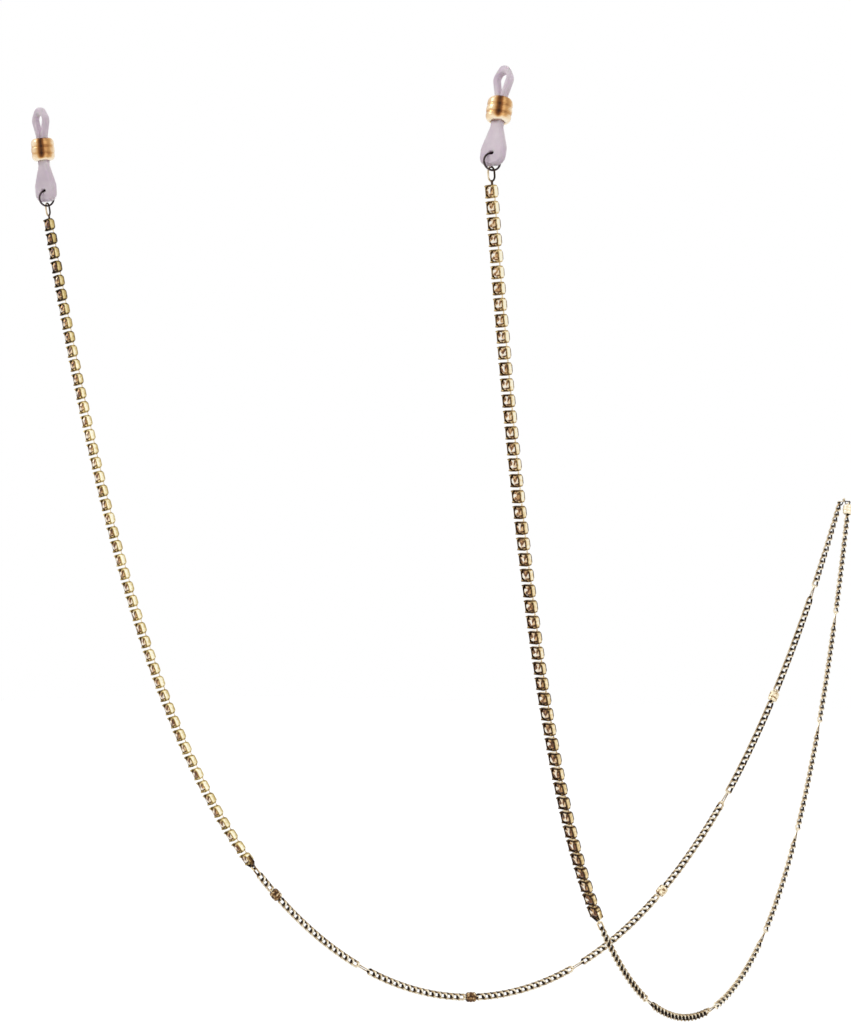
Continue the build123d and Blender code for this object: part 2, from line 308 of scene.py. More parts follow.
def mathNode(nodes, links, operation, first, second):
    node = nodes.new("ShaderNodeMath")
    node.operation = operation
    for socket, value in zip(node.inputs, (first, second)):
        if isinstance(value, (int, float)):
            socket.default_value = value
        else:
            links.new(value, socket)
    return node.outputs[0]


def rangeNode(nodes, links, value, low, high, toLow, toHigh):
    node = nodes.new("ShaderNodeMapRange")
    links.new(value, node.inputs["Value"])
    for key, number in zip(("From Min", "From Max", "To Min", "To Max"), (low, high, toLow, toHigh)):
        node.inputs[key].default_value = number
    return node.outputs["Result"]


def rampNode(nodes, links, value, stops):
    ramp = nodes.new("ShaderNodeValToRGB")
    links.new(value, ramp.inputs["Fac"])
    elements = ramp.color_ramp.elements
    while len(elements) < len(stops):
        elements.new(0.5)
    for element, (place, colour) in zip(elements, stops):
        element.position = place
        element.color = (*colour, 1)
    return ramp.outputs["Color"]


def bumpNode(nodes, links, value, strength, distance):
    bump = nodes.new("ShaderNodeBump")
    bump.inputs["Strength"].default_value = strength
    bump.inputs["Distance"].default_value = distance
    links.new(value, bump.inputs["Height"])
    return bump.outputs["Normal"]


scratchLook = {"stretch": (1, 1, 0.15), "detail": 2.0, "strength": 0.25, "depth": 0.00003}


def platedMetal(name, look):
    # plate coloured dark to bright by its value: dark patina where it is sheltered, bright where it is
    # rubbed, and painted light and shade where these are set into the value, with cloudy patches and fine
    # scratches
    material, nodes, links, shader = newMaterial(name)
    cloud = noiseNode(nodes, links, look["cloud"])
    patch = rangeNode(nodes, links, cloud, 0.3, 0.7, -look["patch"], look["patch"])
    rubbedAndLit = mathNode(nodes, links, "ADD", valueOf(nodes, "wearAndLight"), patch)
    tone = rangeNode(nodes, links, valueOf(nodes, "tone"), 0, 1, -look["spread"], look["spread"])
    rubbedAndLit = mathNode(nodes, links, "ADD", rubbedAndLit, tone)
    links.new(rampNode(nodes, links, rubbedAndLit, look["stops"]), shader.inputs["Base Color"])
    shader.inputs["Metallic"].default_value = look["metallic"]
    rough = rangeNode(nodes, links, rubbedAndLit, 0, 1, look["rough"][0], look["rough"][1])
    links.new(rough, shader.inputs["Roughness"])
    scratch = noiseNode(nodes, links, look["grain"], scratchLook["detail"], scratchLook["stretch"])
    bump = bumpNode(nodes, links, scratch, scratchLook["strength"], scratchLook["depth"])
    links.new(bump, shader.inputs["Normal"])
    return material


looks = {
    "cup": {
        "cloud": 1600, "grain": 9000, "patch": 0.18, "spread": 0.07, "metallic": 0.75, "rough": (0.42, 0.22),
        "stops": [(0.0, (0.035, 0.014, 0.004)), (0.3, (0.16, 0.08, 0.022)), (0.6, (0.66, 0.48, 0.20)),
                  (0.85, (0.94, 0.77, 0.48)), (1.0, (1.0, 0.94, 0.74))],
    },
    "litPaleCup": {
        "cloud": 1600, "grain": 9000, "patch": 0.16, "spread": 0.10, "metallic": 0.75, "rough": (0.42, 0.22),
        "stops": [(0.0, (0.03, 0.015, 0.004)), (0.25, (0.36, 0.24, 0.07)), (0.6, (0.66, 0.52, 0.22)),
                  (0.85, (0.94, 0.83, 0.54)), (1.0, (1.0, 0.96, 0.78))],
    },
    "chain": {
        "cloud": 1100, "grain": 9000, "patch": 0.10, "spread": 0.08, "metallic": 0.7, "rough": (0.4, 0.18),
        "stops": [(0.0, (0.012, 0.005, 0.001)), (0.3, (0.06, 0.028, 0.009)), (0.6, (0.55, 0.40, 0.22)),
                  (0.9, (1.0, 0.9, 0.70))],
    },
    "pale": {
        "cloud": 900, "grain": 9000, "patch": 0.08, "spread": 0.06, "metallic": 0.85, "rough": (0.3, 0.15),
        "stops": [(0.0, (0.10, 0.05, 0.02)), (0.4, (0.45, 0.31, 0.16)), (0.75, (0.88, 0.72, 0.46)),
                  (1.0, (1.0, 0.92, 0.74))],
    },
    "amber": {
        "cloud": 500, "grain": 7000, "patch": 0.10, "spread": 0.0, "metallic": 0.7, "rough": (0.3, 0.14),
        "stops": [(0.0, (0.05, 0.014, 0.002)), (0.35, (0.26, 0.09, 0.018)), (0.65, (0.66, 0.36, 0.13)),
                  (0.85, (0.95, 0.75, 0.50)), (1.0, (1.0, 0.89, 0.70))],
    },
    "umber": {
        "cloud": 1500, "grain": 7000, "patch": 0.6, "spread": 0.08, "metallic": 0.7, "rough": (0.35, 0.16),
        "stops": [(0.0, (0.03, 0.012, 0.004)), (0.35, (0.14, 0.06, 0.02)), (0.65, (0.44, 0.27, 0.11)),
                  (0.9, (0.98, 0.86, 0.62))],
    },
    "dark": {
        "cloud": 900, "grain": 9000, "patch": 0.12, "spread": 0.0, "metallic": 0.9, "rough": (0.4, 0.25),
        "stops": [(0.0, (0.012, 0.008, 0.009)), (0.6, (0.055, 0.038, 0.042)), (1.0, (0.22, 0.17, 0.17))],
    },
}
metals = {name: platedMetal(name + "Metal", look) for name, look in looks.items()}


glassLook = {
    "cloud": 1400, "patch": 0.15,
    "stops": [(0.0, (0.05, 0.012, 0.002)), (0.35, (0.20, 0.07, 0.016)), (0.6, (0.72, 0.42, 0.16)),
              (0.8, (1.0, 0.81, 0.55)), (1.0, (1.0, 0.95, 0.84))],
    "shader": {"Metallic": 0.5, "Roughness": 0.15, "Coat Weight": 0.15, "Coat Roughness": 0.02, "IOR": 1.55},
}


def stoneMaterial():
    # foiled glass with painted reflections: each facet is painted its own share of the foil's light,
    # champagne to dark topaz
    look = glassLook
    material, nodes, links, shader = newMaterial("foiledGlass")
    cloud = noiseNode(nodes, links, look["cloud"])
    patch = rangeNode(nodes, links, cloud, 0.3, 0.7, -look["patch"], look["patch"])
    spark = mathNode(nodes, links, "ADD", valueOf(nodes, "spark"), patch)
    links.new(rampNode(nodes, links, spark, look["stops"]), shader.inputs["Base Color"])
    setInputs(shader, look["shader"])
    return material


siliconeLook = {
    "cloud": 260, "smear": 1500, "rough": (0.28, 0.42),
    "grain": 6000, "grainStrength": 0.15, "grainDepth": 0.00004,
    "stops": [(0.3, (0.74, 0.63, 0.71)), (0.55, (0.82, 0.72, 0.78)), (0.75, (0.90, 0.81, 0.85))],
    "shader": {
        "Transmission Weight": 0.2, "Subsurface Weight": 0.5, "Subsurface Radius": (1.0, 0.8, 1.1),
        "Subsurface Scale": 0.0012, "IOR": 1.41,
    },
}


def siliconeMaterial():
    # translucent lilac rubber with faint clouding and a fine moulded grain
    look = siliconeLook
    material, nodes, links, shader = newMaterial("siliconeRubber")
    cloud = noiseNode(nodes, links, look["cloud"])
    links.new(rampNode(nodes, links, cloud, look["stops"]), shader.inputs["Base Color"])
    smear = noiseNode(nodes, links, look["smear"])
    links.new(rangeNode(nodes, links, smear, 0.3, 0.7, *look["rough"]), shader.inputs["Roughness"])
    setInputs(shader, look["shader"])
    grain = noiseNode(nodes, links, look["grain"])
    bump = bumpNode(nodes, links, grain, look["grainStrength"], look["grainDepth"])
    links.new(bump, shader.inputs["Normal"])
    return material


foiledGlass = stoneMaterial()
siliconeRubber = siliconeMaterial()
print("materials made")


cupLook = {
    "back": 1.27, "backDepth": -1.1, "wall": 1.58, "rim": 0.62, "seatDepth": 0.1,
    "clawTip": 1.0, "clawHalf": 0.6,
    "rowsIn": [-0.5, -0.1, 0.1, -0.05, 0, 0, -0.2, -0.34],  # from the back's edge three times, then the wall
    "rowsUp": [0, 0.02, 0.34, 0.62, -0.42, 0, -0.02],  # from the back four times, then from the rim
    "clawUp": [0, 0, 0, 0, 0, 1, 1.08, 0],  # share of the claw's height at each row's corners
    "cornerIn": [0.14, 0.14, 0.12, 0.08, 0.07, 0.1, 0.26, 0.1],  # how far each row's corners are drawn in
    "cornerBare": [0, 0, 0, -0.8, -0.75, 0.1, 0.45, 0],  # how much brighter they are than the row: painted shade down the wall corners, brighter claw tips
    # painted light and shade with patina in the hollows: dark at the back edge and the rim, bright on the
    # wall, the right strand's back edge painted less dark as it is lit
    "left": [0.75, 0.15, 0.02, 0.92, 0.88, 0.05, 0.2, 0.0],  # how bright each row is, from back to seat
    "right": [0.8, 0.35, 0.4, 0.65, 0.98, 0.0, 0.15, 0.0],
    "brightness": {"left": [0.24, 0.08, -0.2], "right": [-0.36, 0.12, 0.12]},  # brightness shift of the top, a third down and the bottom cup
}


def cupShape(name):
    # a square carried up in rows from the back, each with its half width and height, and with the corners of
    # the top rows drawn up to claws that fold in over the stone
    look = cupLook
    a = look["clawHalf"]
    side = np.array([(1, 1), (a, 1), (-a, 1)])
    quarter = np.array([(0, 1), (-1, 0)])
    ring = np.concatenate([side @ np.linalg.matrix_power(quarter, k) for k in range(4)])
    corner = np.tile([1, 0, 0], 4).astype(float)
    b, w, low, high = look["back"], look["wall"], look["backDepth"], look["rim"]
    halves = np.array([b, b, b, w, w, w, w, w]) + look["rowsIn"]
    heights = np.append(np.array([low, low, low, low, high, high, high]) + look["rowsUp"], look["seatDepth"])
    lift = np.array(look["clawUp"]) * (look["clawTip"] - high)
    half = halves[:, None] * (1 - np.array(look["cornerIn"])[:, None] * corner)
    height = heights[:, None] + lift[:, None] * corner
    points = np.concatenate([half[..., None] * ring, height[..., None]], -1)
    verts = points.reshape(-1, 3)
    rows, cols = points.shape[:2]
    walls = gridFaces(rows, cols)
    walls = walls if outward(verts, walls) else walls[:, ::-1]
    caps = np.stack([np.arange(cols)[::-1], np.arange(cols) + (rows - 1) * cols])
    wearAndLight = np.array(look[name])[:, None] + corner * np.array(look["cornerBare"])[:, None]
    return {"verts": verts, "faces": [walls, caps], "wearAndLight": wearAndLight.ravel()}


def outward(verts, faces):
    # true if the middle one of the faces looks away from the axis of the rows
    a, b, c = (verts[faces[len(faces) // 2, k]] for k in range(3))
    return np.dot(np.cross(b - a, c - a)[:2], a[:2]) > 0


stoneLook = {
    "girdle": 1.14, "girdleHeight": 0.5, "table": 0.66, "tableHeight": 0.92, "culet": -0.5, "cutCorner": 0.5,
    # painted light on the left strand's stones and painted shade on the right one's
    "lift": {"left": 0.05, "right": -0.06},
    # painted reflections: how much of the foil's light each facet is painted as throwing back: the two
    # triangles of each crown facet, the table and the facets below the girdle
    "spark": [
        [0.1, 0.5, 0.05, 0.75, 0.15, 0.8, 0.1, 0.4], [0.5, 0.1, 0.85, 0.2, 0.9, 0.2, 0.5, 0.1],
        [0.95, 1.1, 1.2, 1.0, 0.5, 0.05, 0.05, 0.4], [0.1] * 8,
    ],
}


def stoneShape(name):
    # a square with cut corners: a girdle, a table and a point below, with flat facets between, and a lift
    # that paints the whole stone lighter on one strand and darker on the other, as each strand is lit
    look = stoneLook
    c = look["cutCorner"]
    ring = np.array([(1, c), (c, 1), (-c, 1), (-1, c), (-1, -c), (-c, -1), (c, -1), (1, -c)], float)
    low = np.concatenate([ring * look["girdle"], np.full((8, 1), look["girdleHeight"])], -1)
    top = np.concatenate([ring * look["table"], np.full((8, 1), look["tableHeight"])], -1)
    verts = np.concatenate([low, top, [[0, 0, look["culet"]], [0, 0, look["tableHeight"]]]])
    k = np.arange(8)
    m = (k + 1) % 8
    crown = np.concatenate([np.stack([k, m, 8 + k], -1), np.stack([m, 8 + m, 8 + k], -1)])
    table = np.stack([8 + k, 8 + m, 0 * k + 17], -1)
    under = np.stack([m, k, 0 * k + 16], -1)
    faces = facesOut(verts, np.concatenate([crown, table, under]))
    shape = {"verts": verts, "faces": [faces], "wearAndLight": np.zeros(len(verts))}
    return shape | {"spark": np.array(look["spark"]), "lift": look["lift"][name]}


barLook = {
    "depth": -0.8, "width": 0.56, "thick": 0.34, "bite": 0.32,
    "stations": [-1, -0.4, 0, 0.4, 1], "waist": [1, 0.8, 0.72, 0.8, 1],  # of its reach and of its section
    "wearAndLight": [0.7, 0.85, 0.7, 0.45, 0.35, 0.45],  # round the section
}


def barShape():
    # a strap along X between two cup backs: an oval section of six points * waist, narrow at its middle,
    # with both ends closed
    look = barLook
    reach = (route["cupPitch"] - 2 * cupLook["back"]) / 2 + look["bite"]
    x = np.array(look["stations"]) * reach
    waist = np.array(look["waist"])
    rows, around = len(x), len(look["wearAndLight"])
    section = roundSection(0.5, around) * np.array([look["width"], look["thick"]])
    points = np.concatenate([
        np.broadcast_to(x[:, None, None], (rows, around, 1)),
        waist[:, None, None] * section[None] + np.array([0, look["depth"]])], -1)
    verts = points.reshape(-1, 3)
    return {"verts": verts, "faces": closedFaces(verts, rows, around), "wearAndLight": np.tile(look["wearAndLight"], rows)}


def makeCupChain(name, group, place, seed):
    count = route["cupCount"] // 3
    number = np.arange(group * count, (group + 1) * count)
    middles, turns = framesAt(name, number * route["cupPitch"], route["cupPitch"], True)
    body = f"{name}_cup_chain"
    metal = metals["cup" if name == "left" else "litPaleCup"]  # the right strand's cups take a paler copy of the same plate, painted lighter as they are lit
    brightness = np.interp(number / route["cupCount"], [0, 0.33, 1], cupLook["brightness"][name])
    cups = addCopies(f"{name}Cups{place.title()}", cupShape(name), middles, turns, metal, False, seed, brightness)
    seat(cups, body, "cup_gold", f"{name}_cups_{place}")
    stones = addCopies(f"{name}Stones{place.title()}", stoneShape(name), middles, turns, foiledGlass, False,
                       seed + 7, brightness)
    seat(stones, body, "stone", f"{name}_stones_{place}")
    number = number[number < route["cupCount"] - 1]
    middles, turns = framesAt(name, (number + 0.5) * route["cupPitch"], route["cupPitch"], True)
    bars = addCopies(f"{name}Bars{place.title()}", barShape(), middles, turns, metals["pale"], True,
                     seed + 13)
    seat(bars, body, "antique_brass", f"{name}_bars_{place}")


for sideNumber, sideName in enumerate(sides):
    for groupNumber, groupPlace in enumerate(("upper", "middle", "lower")):
        makeCupChain(sideName, groupNumber, groupPlace, 10 * sideNumber + groupNumber)
print("cup chains made")


curbLook = {
    "width": 2.16, "wire": 0.67, "twist": 45, "roll": 0, "flatten": 0.46, "stations": 12, "around": 5,
    "risesFrom": {"left": 2, "right": 6},  # from this run on the painted shade sits at the end towards the nape
    # painted shade round one end of each link while the strand falls and while it rises, with a brightness
    # shift for the run
    "falling": {"depth": 1.55, "at": 165, "arc": 2.3, "brightness": 0.0},
    "rising": {"depth": 2.05, "at": 345, "arc": 1.7, "brightness": 0.05},
}
longLook = {"width": 1.1, "wire": 0.42, "twist": 45, "roll": 0, "stations": 14, "around": 6}
jumpLook = {
    "width": 1.6, "wire": 0.46, "twist": 0, "roll": 45, "stations": 20, "around": 8,
    # the right jump link gets a painted shade round one end, the left one none
    "shade": {"left": None, "right": {"depth": 1.2, "at": 165, "arc": 2.3}},
}
napeLook = {
    "width": 1.8, "wire": 0.38, "twist": 60, "roll": -10, "stations": 20, "around": 8,
    "play": 0.25, "shade": {"depth": 1.1, "at": 165, "arc": 2.3},
}
barrelLook = {
    "length": 2.7, "radius": 1.38, "bore": 0.85, "rows": 25, "around": 28,
    "bulge": 0.98, "belly": 0.12, "shoulder": 0.1,
    "ribs": 3, "ribDepth": 0.035, "ribShade": 0.1, "endBare": 0.1,
    "wearAndLight": {"nape": 0.9, "right": 0.42},
    "brightness": [0.0, -0.15, 0.42, 0.52],  # the right strand's beads are paler towards the nape
}


def barrelShape(wearAndLight):
    # a ribbed barrel along X with a bore for the long link: radius * (bulge - ribDepth * rib) turned round
    # X, where bulge falls towards the ends and rib is a cosine
    look = barrelLook
    t = np.linspace(-1, 1, look["rows"])
    bulge = look["bulge"] - look["belly"] * t**2 - look["shoulder"] * np.abs(t) ** 8
    rib = np.cos(2 * np.pi * look["ribs"] * (t + 1) / 2)
    profile = np.stack([t * look["length"] / 2, look["radius"] * (bulge - look["ribDepth"] * rib)], -1)

    def bore(angle, height):
        return np.stack([look["bore"] * np.cos(angle), look["bore"] * np.sin(angle), 0 * angle + height], -1)

    verts, faces = turnedShape(profile, look["around"], bore)
    rows = np.append(wearAndLight - look["ribShade"] * rib, [look["endBare"]] * 2)
    return {"verts": verts[:, [2, 0, 1]], "faces": [faces], "wearAndLight": np.repeat(rows, look["around"])}


def makeFineChain(name, seed):
    body = f"{name}_fine_chain"
    curbPitch, longPitch, jumpPitch = route["curbPitch"], route["longPitch"], route["jumpPitch"]
    long = linkShape(longPitch, longLook)
    jump = linkShape(jumpPitch, jumpLook, jumpLook["shade"][name])
    s = cupsEnd + route["crimpReach"]
    piece = addCopies(f"{name}JumpLink", jump, *framesAt(name, s, jumpPitch), metals["pale"])
    seat(piece, body, "chain_brass", f"{name}_jump_link")
    s += jumpPitch
    longStarts = []
    for k, count in enumerate(runCounts[name]):
        shade = curbLook["rising" if k >= curbLook["risesFrom"][name] else "falling"]
        curb = linkShape(curbPitch, curbLook, shade)
        places = framesAt(name, s + np.arange(count) * curbPitch, curbPitch)
        piece = addCopies(f"{name}CurbRun{k + 1}", curb, *places, metals["chain"], True, seed + k,
                          shade["brightness"])
        seat(piece, body, "chain_brass", f"{name}_curb_run_{k + 1}")
        s += count * curbPitch
        longStarts.append(s)
        s += longPitch
    last = longStarts.pop()  # the left strand ends in a long link, and the right one in its last run
    if name == "left":
        places = framesAt(name, last, longPitch)
        piece = addCopies("napeLongLink", long, *places, metals["pale"])
        seat(piece, body, "pale_gold", "nape_long_link")
        piece = addCopies("napeBarrelBead", barrelShape(barrelLook["wearAndLight"]["nape"]), *places, metals["pale"])
        seat(piece, body, "pale_gold", "nape_barrel_bead")
    piece = addCopies(f"{name}LongLinks", long, *framesAt(name, longStarts, longPitch), metals["pale"])
    seat(piece, body, "pale_gold", f"{name}_long_links")
    if name == "right":
        places = framesAt(name, longStarts[::2], longPitch)
        barrel = barrelShape(barrelLook["wearAndLight"]["right"])
        piece = addCopies("rightBarrelBeads", barrel, *places, metals["umber"], brightness=barrelLook["brightness"])
        seat(piece, body, "pale_gold", "right_barrel_beads")


def makeNapeLinks():
    # two curb links that rise to the hook and meet over it, tilted by napeBend from upright
    bend = np.radians(route["napeBend"])
    link = linkShape(route["curbPitch"] + napeLook["play"], napeLook, napeLook["shade"])
    side = np.array([1.0, -1.0])
    zero = 0 * side
    along = np.stack([-side * np.sin(bend), zero, zero + np.cos(bend)], -1)
    normal = np.stack([side * np.cos(bend), zero, zero + np.sin(bend)], -1)
    turns = np.stack([along, np.cross(normal, along), normal], -1)
    piece = addCopies("napeLinks", link, along * (-route["curbPitch"] / 2), turns, metals["chain"])
    seat(piece, "held_ends", "chain_brass", "nape_links")


for sideNumber, sideName in enumerate(sides):
    makeFineChain(sideName, 100 + 20 * sideNumber)
makeNapeLinks()
print("fine chains made")


fittingLook = {"endReach": 3.35, "endDepth": -0.3}
loopLook = {
    "depth": 2.0, "edge": 0.62, "holeEdge": 0.2, "voxel": 0.12, "around": 120, "edgeRows": 9,
    "legHalf": 1.5, "slit": 0.3, "slitLow": 11.9, "legsHigh": 18.05, "squareness": 0.6,
    "legRows": 8, "eyeRows": 66, "legAround": 20, "legRoot": 0.8, "soften": 0.5, "softenTimes": 6,
    "lobe": [(-1.0, 3.1, 2.3), (1.0, 3.1, 2.3), (0, 4.6, 3.35), (-1.15, 10.3, 0.35), (1.15, 10.3, 0.35)],
    "hole": [(-0.3, 3.68, 0.42), (0.3, 3.68, 0.42)],
    "neck": [(-1.15, 9.6, 0.35), (1.15, 9.6, 0.35), (-1.15, 11.6, 0.35), (1.15, 11.6, 0.35)],
    "neckMiddle": [(0, 10.2, 0)],
    "eye": [(0, 22.0, 2.55), (0, 24.0, 1.55), (-1.5, 18.05, 0), (1.5, 18.05, 0)],
    "eyeHole": [(0, 22.3, 1.15), (-0.15, 18.4, 0), (0.15, 18.4, 0)],
}


def fittingFrames(name):
    # where the ring and the end link touch and the fitting's upright axes there, then where the end link
    # meets the first cup and that cup's axes
    lean = np.radians(sides[name]["lean"])
    middles, turns = framesAt(name, 0, 0.02, True)
    top, turn = middles[0], turns[0]
    top = top + turn[:, 2] * fittingLook["endDepth"]
    contact = top - turn[:, 0] * fittingLook["endReach"]
    up = np.array([0, np.sin(lean), np.cos(lean)])
    right = np.array([1.0, 0, 0])
    return contact, np.stack([right, np.cross(up, right), up], -1), top, turn


def hullLine(rounds, ways):
    # the outline round circles of (x, height, radius): for each way, the circle that reaches furthest gives
    # centre + radius * way
    rounds = np.array(rounds, float)
    reach = ways @ rounds[:, :2].T + rounds[:, 2]
    best = rounds[np.argmax(reach, axis=1)]
    return best[:, :2] + best[:, 2:] * ways


def plateSurface(outer, inner):
    # a flat plate with a hole and rounded edges: point = blend of the hole's and the rim's outlines at each
    # way, moved along the way by the rounding, at its level through the depth
    half, edge, holeEdge = loopLook["depth"] / 2, loopLook["edge"], loopLook["holeEdge"]
    around, edgeRows = loopLook["around"], loopLook["edgeRows"]
    angle = 2 * np.pi * np.arange(around) / around
    ways = np.stack([np.cos(angle), np.sin(angle)], -1)
    rim, hole = hullLine(outer, ways), hullLine(inner, ways)
    over = np.radians(np.linspace(90, -90, edgeRows))
    bend, rise = 1 - np.cos(over), np.sin(over)
    side = np.sign(np.round(rise, 6))
    between = np.array([0.75, 0.5, 0.25])
    share = np.concatenate([np.ones(edgeRows), between, np.zeros(edgeRows), between[::-1]])
    offset = np.concatenate([-edge * bend, 0 * between, holeEdge * bend, 0 * between])
    rimLevel = side * (half - edge) + edge * rise
    holeLevel = side * (half - holeEdge) + holeEdge * rise
    depth = np.concatenate([rimLevel, 0 * between - half, holeLevel[::-1], 0 * between + half])
    flat = share[:, None, None] * rim + (1 - share[:, None, None]) * hole + offset[:, None, None] * ways
    depth = np.broadcast_to(depth[:, None], flat.shape[:2])
    verts = np.stack([flat[..., 0], depth, flat[..., 1]], -1).reshape(-1, 3)
    return verts, facesOut(verts, gridFaces(len(share), around, True))


def legSurface():
    # the two legs and the eye as one rounded bar: point = middle + u * half of the way from the inner
    # outline to the outer one, at level v through the depth, up one leg, round the eye and down the other
    look = loopLook
    around = look["legAround"]
    rise = np.linspace(look["slitLow"] - look["legRoot"], look["legsHigh"], look["legRows"])[:-1]
    angle = np.radians(np.linspace(-40, 220, look["eyeRows"]))
    ways = np.stack([np.cos(angle), np.sin(angle)], -1)
    legOut = np.stack([0 * rise + look["legHalf"], rise], -1)
    legIn = np.stack([0 * rise + look["slit"] / 2, rise], -1)
    mirror = np.array([-1, 1])
    outer = np.concatenate([legOut, hullLine(look["eye"], ways), legOut[::-1] * mirror])
    inner = np.concatenate([legIn, hullLine(look["eyeHole"], ways), legIn[::-1] * mirror])
    angle = 2 * np.pi * (np.arange(around) + 0.5) / around
    u = np.sign(np.cos(angle)) * np.abs(np.cos(angle)) ** look["squareness"]
    v = np.sign(np.sin(angle)) * np.abs(np.sin(angle)) ** look["squareness"]
    flat = ((outer + inner) / 2)[:, None] + u[:, None] * ((outer - inner) / 2)[:, None]
    depth = np.broadcast_to(look["depth"] / 2 * v, flat.shape[:2])
    verts = np.stack([flat[..., 0], depth, flat[..., 1]], -1).reshape(-1, 3)
    return verts, closedFaces(verts, len(outer), around)


def makeTempleLoop(name):
    # the lobe, the neck and the legs are joined by a fine remesh, then smoothed, so that they flow together
    lobe, lobeFaces = plateSurface(loopLook["lobe"], loopLook["hole"])
    neck, neckFaces = plateSurface(loopLook["neck"], loopLook["neckMiddle"])
    legs, legFaces = legSurface()
    contact, turn, _, _ = fittingFrames(name)
    verts = np.concatenate([lobe, neck, legs]) @ turn.T + contact
    step = len(lobe) + len(neck)
    faceSets = [lobeFaces, neckFaces + len(lobe)] + [faces + step for faces in legFaces]
    piece = addMesh(f"{name}TempleLoop", verts, faceSets, siliconeRubber)
    remesh = piece.modifiers.new("join", "REMESH")
    remesh.mode = "VOXEL"
    remesh.voxel_size = loopLook["voxel"] * mm
    remesh.use_smooth_shade = True
    smooth = piece.modifiers.new("soften", "SMOOTH")
    smooth.factor = loopLook["soften"]
    smooth.iterations = loopLook["softenTimes"]
    applyModifiers(piece)
    return seat(piece, "held_ends", "silicone", f"{name}_temple_loop")


def applyModifiers(piece):
    graph = bpy.context.evaluated_depsgraph_get()
    done = bpy.data.meshes.new_from_object(piece.evaluated_get(graph))
    piece.modifiers.clear()
    piece.data = done


beadLook = {
    "low": 11.6, "length": 5.8, "radius": 3.05, "gap": 0.08, "rows": 61, "around": 60,
    "belly": 0.07, "shoulder": 0.2,
    "grooves": [0.32, 0.63], "grooveDepth": 0.04, "grooveWidth": 0.06, "rings": 15, "ringDepth": 0.006,
    "wearAndLight": 0.84, "grooveShade": 3, "ringShade": 5, "slot": 0.05, "ends": [0.2, 0.75],
    "darkReflectionAt": -0.95, "darkReflection": 0.78, "darkReflectionWidth": 0.42,  # three painted dark reflections, as streaks round it
    "amberAt": 0.9, "amber": 0.3, "amberWidth": 0.5,  # a painted amber shade beside each streak, less dark than it
    "lip": 0.95, "lipWidth": 0.12,  # the lower lip stays pale
}


def hump(x, width):
    return np.exp(-((x / width) ** 2))


def makeSlideBead(name):
    # three lobes between two lips: radius * (drum - groove - rings), turned, with a slot that the legs fill
    look = beadLook
    t = np.linspace(0, 1, look["rows"])
    drum = 1 - look["shoulder"] * np.abs(2 * t - 1) ** 8 - look["belly"] * (2 * t - 1) ** 2
    groove = look["grooveDepth"] * sum(hump(t - place, look["grooveWidth"]) for place in look["grooves"])
    rings = look["ringDepth"] * np.cos(2 * np.pi * look["rings"] * t)
    profile = np.stack([look["low"] + t * look["length"], look["radius"] * (drum - groove - rings)], -1)
    wide = loopLook["legHalf"] + look["gap"]
    deep = loopLook["depth"] / 2 + look["gap"]

    def slot(angle, height):
        across, through = np.abs(np.cos(angle)), np.abs(np.sin(angle))
        reach = np.minimum(wide / np.maximum(across, 1e-6), deep / np.maximum(through, 1e-6))
        return np.stack([reach * np.cos(angle), reach * np.sin(angle), 0 * angle + height], -1)

    verts, faces = turnedShape(profile, look["around"], slot)
    contact, turn, _, _ = fittingFrames(name)
    rows = look["wearAndLight"] - look["grooveShade"] * groove - look["ringShade"] * rings
    rows = np.append(rows, [look["slot"]] * 2)
    # painted reflection: three dark streaks round the bead, each with a less dark amber shade beside it
    angle = 2 * np.pi * np.arange(look["around"]) / look["around"]
    streak = (angle - look["darkReflectionAt"]) * 1.5
    darkReflection = look["darkReflection"] * hump(np.sin(streak), look["darkReflectionWidth"])
    amber = look["amber"] * hump(np.sin(streak - look["amberAt"]), look["amberWidth"])
    lip = hump(np.append(t, [1, 1]), look["lipWidth"])[:, None]
    wearAndLight = (1 - lip) * (rows[:, None] - np.maximum(darkReflection, amber)) + look["lip"] * lip
    wearAndLight[-2:] = np.array(look["ends"])[:, None]
    attributes = {"wearAndLight": wearAndLight.ravel(), "tone": np.full(len(verts), 0.5)}
    piece = addMesh(f"{name}SlideBead", verts @ turn.T + contact, [faces], metals["amber"], True, attributes)
    return seat(piece, f"{name}_bead", "bead_gold", f"{name}_slide_bead")


ringLook = {"radius": 2.055, "wire": 0.5, "stations": 56, "around": 10, "wearAndLight": 0.45, "outerBare": 0.8}


def makeGripRing(name):
    # a round wire carried round a circle, upright and turned by ringTurn
    look = ringLook
    contact, turn, _, _ = fittingFrames(name)
    angle = 2 * np.pi * np.arange(look["stations"]) / look["stations"]
    outwards = np.stack([np.cos(angle), 0 * angle, np.sin(angle)], -1)
    flat = np.broadcast_to([0.0, 1.0, 0.0], outwards.shape)
    section = roundSection(look["wire"] / 2, look["around"])
    points = tube(look["radius"] * outwards, outwards, flat, section).reshape(-1, 3)
    spin = np.radians(sides[name]["ringTurn"])
    about = np.array([[np.cos(spin), -np.sin(spin), 0], [np.sin(spin), np.cos(spin), 0], [0, 0, 1]])
    points = points @ about.T + np.array([0, 0, look["radius"] - look["wire"] / 2])
    wearAndLight = np.tile(look["wearAndLight"] + look["outerBare"] * section[:, 0] / look["wire"], look["stations"])
    attributes = {"wearAndLight": wearAndLight, "tone": np.full(len(points), 0.5)}
    verts = points @ turn.T + contact
    faces = facesOut(verts, gridFaces(look["stations"], look["around"], True))
    piece = addMesh(f"{name}GripRing", verts, [faces], metals["dark"], True, attributes)
    return seat(piece, f"{name}_ring", "dark_ring", f"{name}_grip_ring")


endLook = {
    "width": 2.8, "wire": 0.46, "play": 0.22, "low": 0.75, "stations": 32, "around": 10,
    "tab": [-0.8, 0.7], "tabRows": 5, "tabWidth": 0.72, "tabThick": 0.5, "tabBare": 0.3,
    "wearAndLight": 0.35, "sideHighlight": 0.5, "outerBare": 0.4,
}


